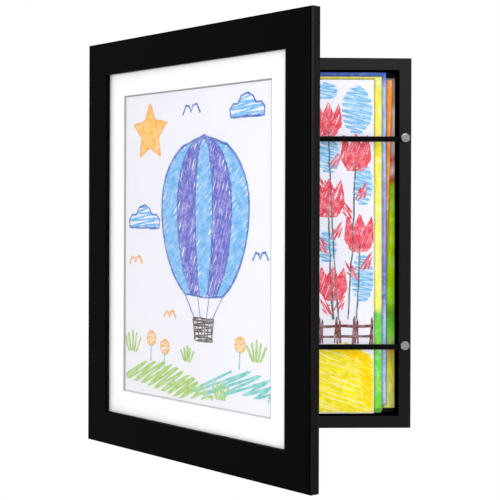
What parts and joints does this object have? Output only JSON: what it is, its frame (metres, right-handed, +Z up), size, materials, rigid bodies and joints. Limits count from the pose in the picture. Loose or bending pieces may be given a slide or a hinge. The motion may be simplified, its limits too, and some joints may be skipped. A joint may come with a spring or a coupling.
{
  "type": "children's art frame",
  "caption": "Front-opening picture frame for a child's drawings: a matted, glazed door hinged on a shallow wall box that stores more drawings behind elastic bands.",
  "frame": {"origin": "the middle notch of the upright sawtooth hanger, in the plane of the wall, where the wall's nail carries the frame", "axes": "+X to the right seen from the front, +Y back into the wall, +Z up with the frame hung upright"},
  "size_m": [0.3081, 0.276, 0.3733],
  "materials": {
    "door_black": "matt black paint on fibreboard moulding",
    "box_black": "matt black paint on fibreboard",
    "panel_black": "black-faced hardboard",
    "clear_sheet": "clear polished acrylic sheet",
    "mat_white": "smooth white mat board",
    "paper_white": "drawing paper with wax crayon",
    "board_brown": "bare brown hardboard",
    "hinge_steel": "blackened steel",
    "screw_steel": "zinc-plated steel",
    "button_steel": "zinc-plated stamped steel",
    "stud_steel": "turned steel with a bright edge",
    "magnet_nickel": "nickel-plated magnet",
    "band_black": "flat woven black elastic",
    "stack_lavender": "drawing paper with crayon and paint",
    "stack_yellow": "painted drawing paper",
    "stack_blue": "painted drawing paper",
    "stack_orange": "painted drawing paper",
    "stack_pink": "painted drawing paper",
    "hanger_steel": "yellow-passivated steel strip",
    "bumper_rubber": "soft black rubber"
  },
  "bodies": {
    "wall_box": {"box_wall_hinge": "box_black", "box_wall_top": "box_black", "box_wall_free": "box_black", "box_wall_bottom": "box_black", "back_panel": "panel_black", "hinge_leaf_box_upper": "hinge_steel", "hinge_leaf_box_lower": "hinge_steel", "hinge_screw_box_upper_upper": "screw_steel", "hinge_screw_box_upper_lower": "screw_steel", "hinge_screw_box_lower_upper": "screw_steel", "hinge_screw_box_lower_lower": "screw_steel", "hinge_pin_upper": "hinge_steel", "hinge_pin_lower": "hinge_steel", "band_stud_hinge_upper": "stud_steel", "band_stud_hinge_lower": "stud_steel", "band_stud_free_upper": "stud_steel", "band_stud_free_lower": "stud_steel", "elastic_band_upper": "band_black", "elastic_band_lower": "band_black", "drawing_bundle_1": "stack_lavender", "drawing_bundle_2": "stack_yellow", "drawing_bundle_3": "stack_blue", "drawing_bundle_4": "stack_orange", "drawing_bundle_5": "stack_pink", "hanger_upright": "hanger_steel", "hanger_upright_nail_first": "hanger_steel", "hanger_upright_nail_second": "hanger_steel", "hanger_sideways": "hanger_steel", "hanger_sideways_nail_first": "hanger_steel", "hanger_sideways_nail_second": "hanger_steel", "wall_bumper_hinge_upper": "bumper_rubber", "wall_bumper_hinge_lower": "bumper_rubber", "wall_bumper_free_upper": "bumper_rubber", "wall_bumper_free_lower": "bumper_rubber"},
    "door": {"door_rail_top": "door_black", "door_rail_bottom": "door_black", "door_stile_hinge": "door_black", "door_stile_free": "door_black", "glazing": "clear_sheet", "mat": "mat_white", "display_drawing": "paper_white", "backing_board": "board_brown", "catch_magnet_upper": "magnet_nickel", "catch_magnet_lower": "magnet_nickel", "hinge_leaf_door_upper": "hinge_steel", "hinge_leaf_door_lower": "hinge_steel", "hinge_screw_door_upper_upper": "screw_steel", "hinge_screw_door_upper_lower": "screw_steel", "hinge_screw_door_lower_upper": "screw_steel", "hinge_screw_door_lower_lower": "screw_steel", "turn_button_screw_hinge_upper": "screw_steel", "turn_button_screw_hinge_lower": "screw_steel", "turn_button_screw_free_upper": "screw_steel", "turn_button_screw_free_lower": "screw_steel"},
    "turn_button_hinge_upper": {"turn_button_hinge_upper": "button_steel"},
    "turn_button_hinge_lower": {"turn_button_hinge_lower": "button_steel"},
    "turn_button_free_upper": {"turn_button_free_upper": "button_steel"},
    "turn_button_free_lower": {"turn_button_free_lower": "button_steel"}
  },
  "joints": [
    {"name": "door_hinge", "type": "hinge", "parent": "wall_box", "child": "door", "pos_m": [-0.1489, -0.0306, -0.1687], "axis": [0, 0, -1], "range_deg": [-51.8, 68.2]},
    {"name": "turn_button_hinge_upper_pivot", "type": "hinge", "parent": "door", "child": "turn_button_hinge_upper", "pos_m": [-0.13946, -0.04582, -0.1087], "axis": [0.7859, 0.6184, 0], "continuous": true},
    {"name": "turn_button_hinge_lower_pivot", "type": "hinge", "parent": "door", "child": "turn_button_hinge_lower", "pos_m": [-0.13946, -0.04582, -0.2287], "axis": [0.7859, 0.6184, 0], "continuous": true},
    {"name": "turn_button_free_upper_pivot", "type": "hinge", "parent": "door", "child": "turn_button_free_upper", "pos_m": [0.02268, -0.25188, -0.1087], "axis": [0.7859, 0.6184, 0], "continuous": true},
    {"name": "turn_button_free_lower_pivot", "type": "hinge", "parent": "door", "child": "turn_button_free_lower", "pos_m": [0.02268, -0.25188, -0.2287], "axis": [0.7859, 0.6184, 0], "continuous": true}
  ]
}
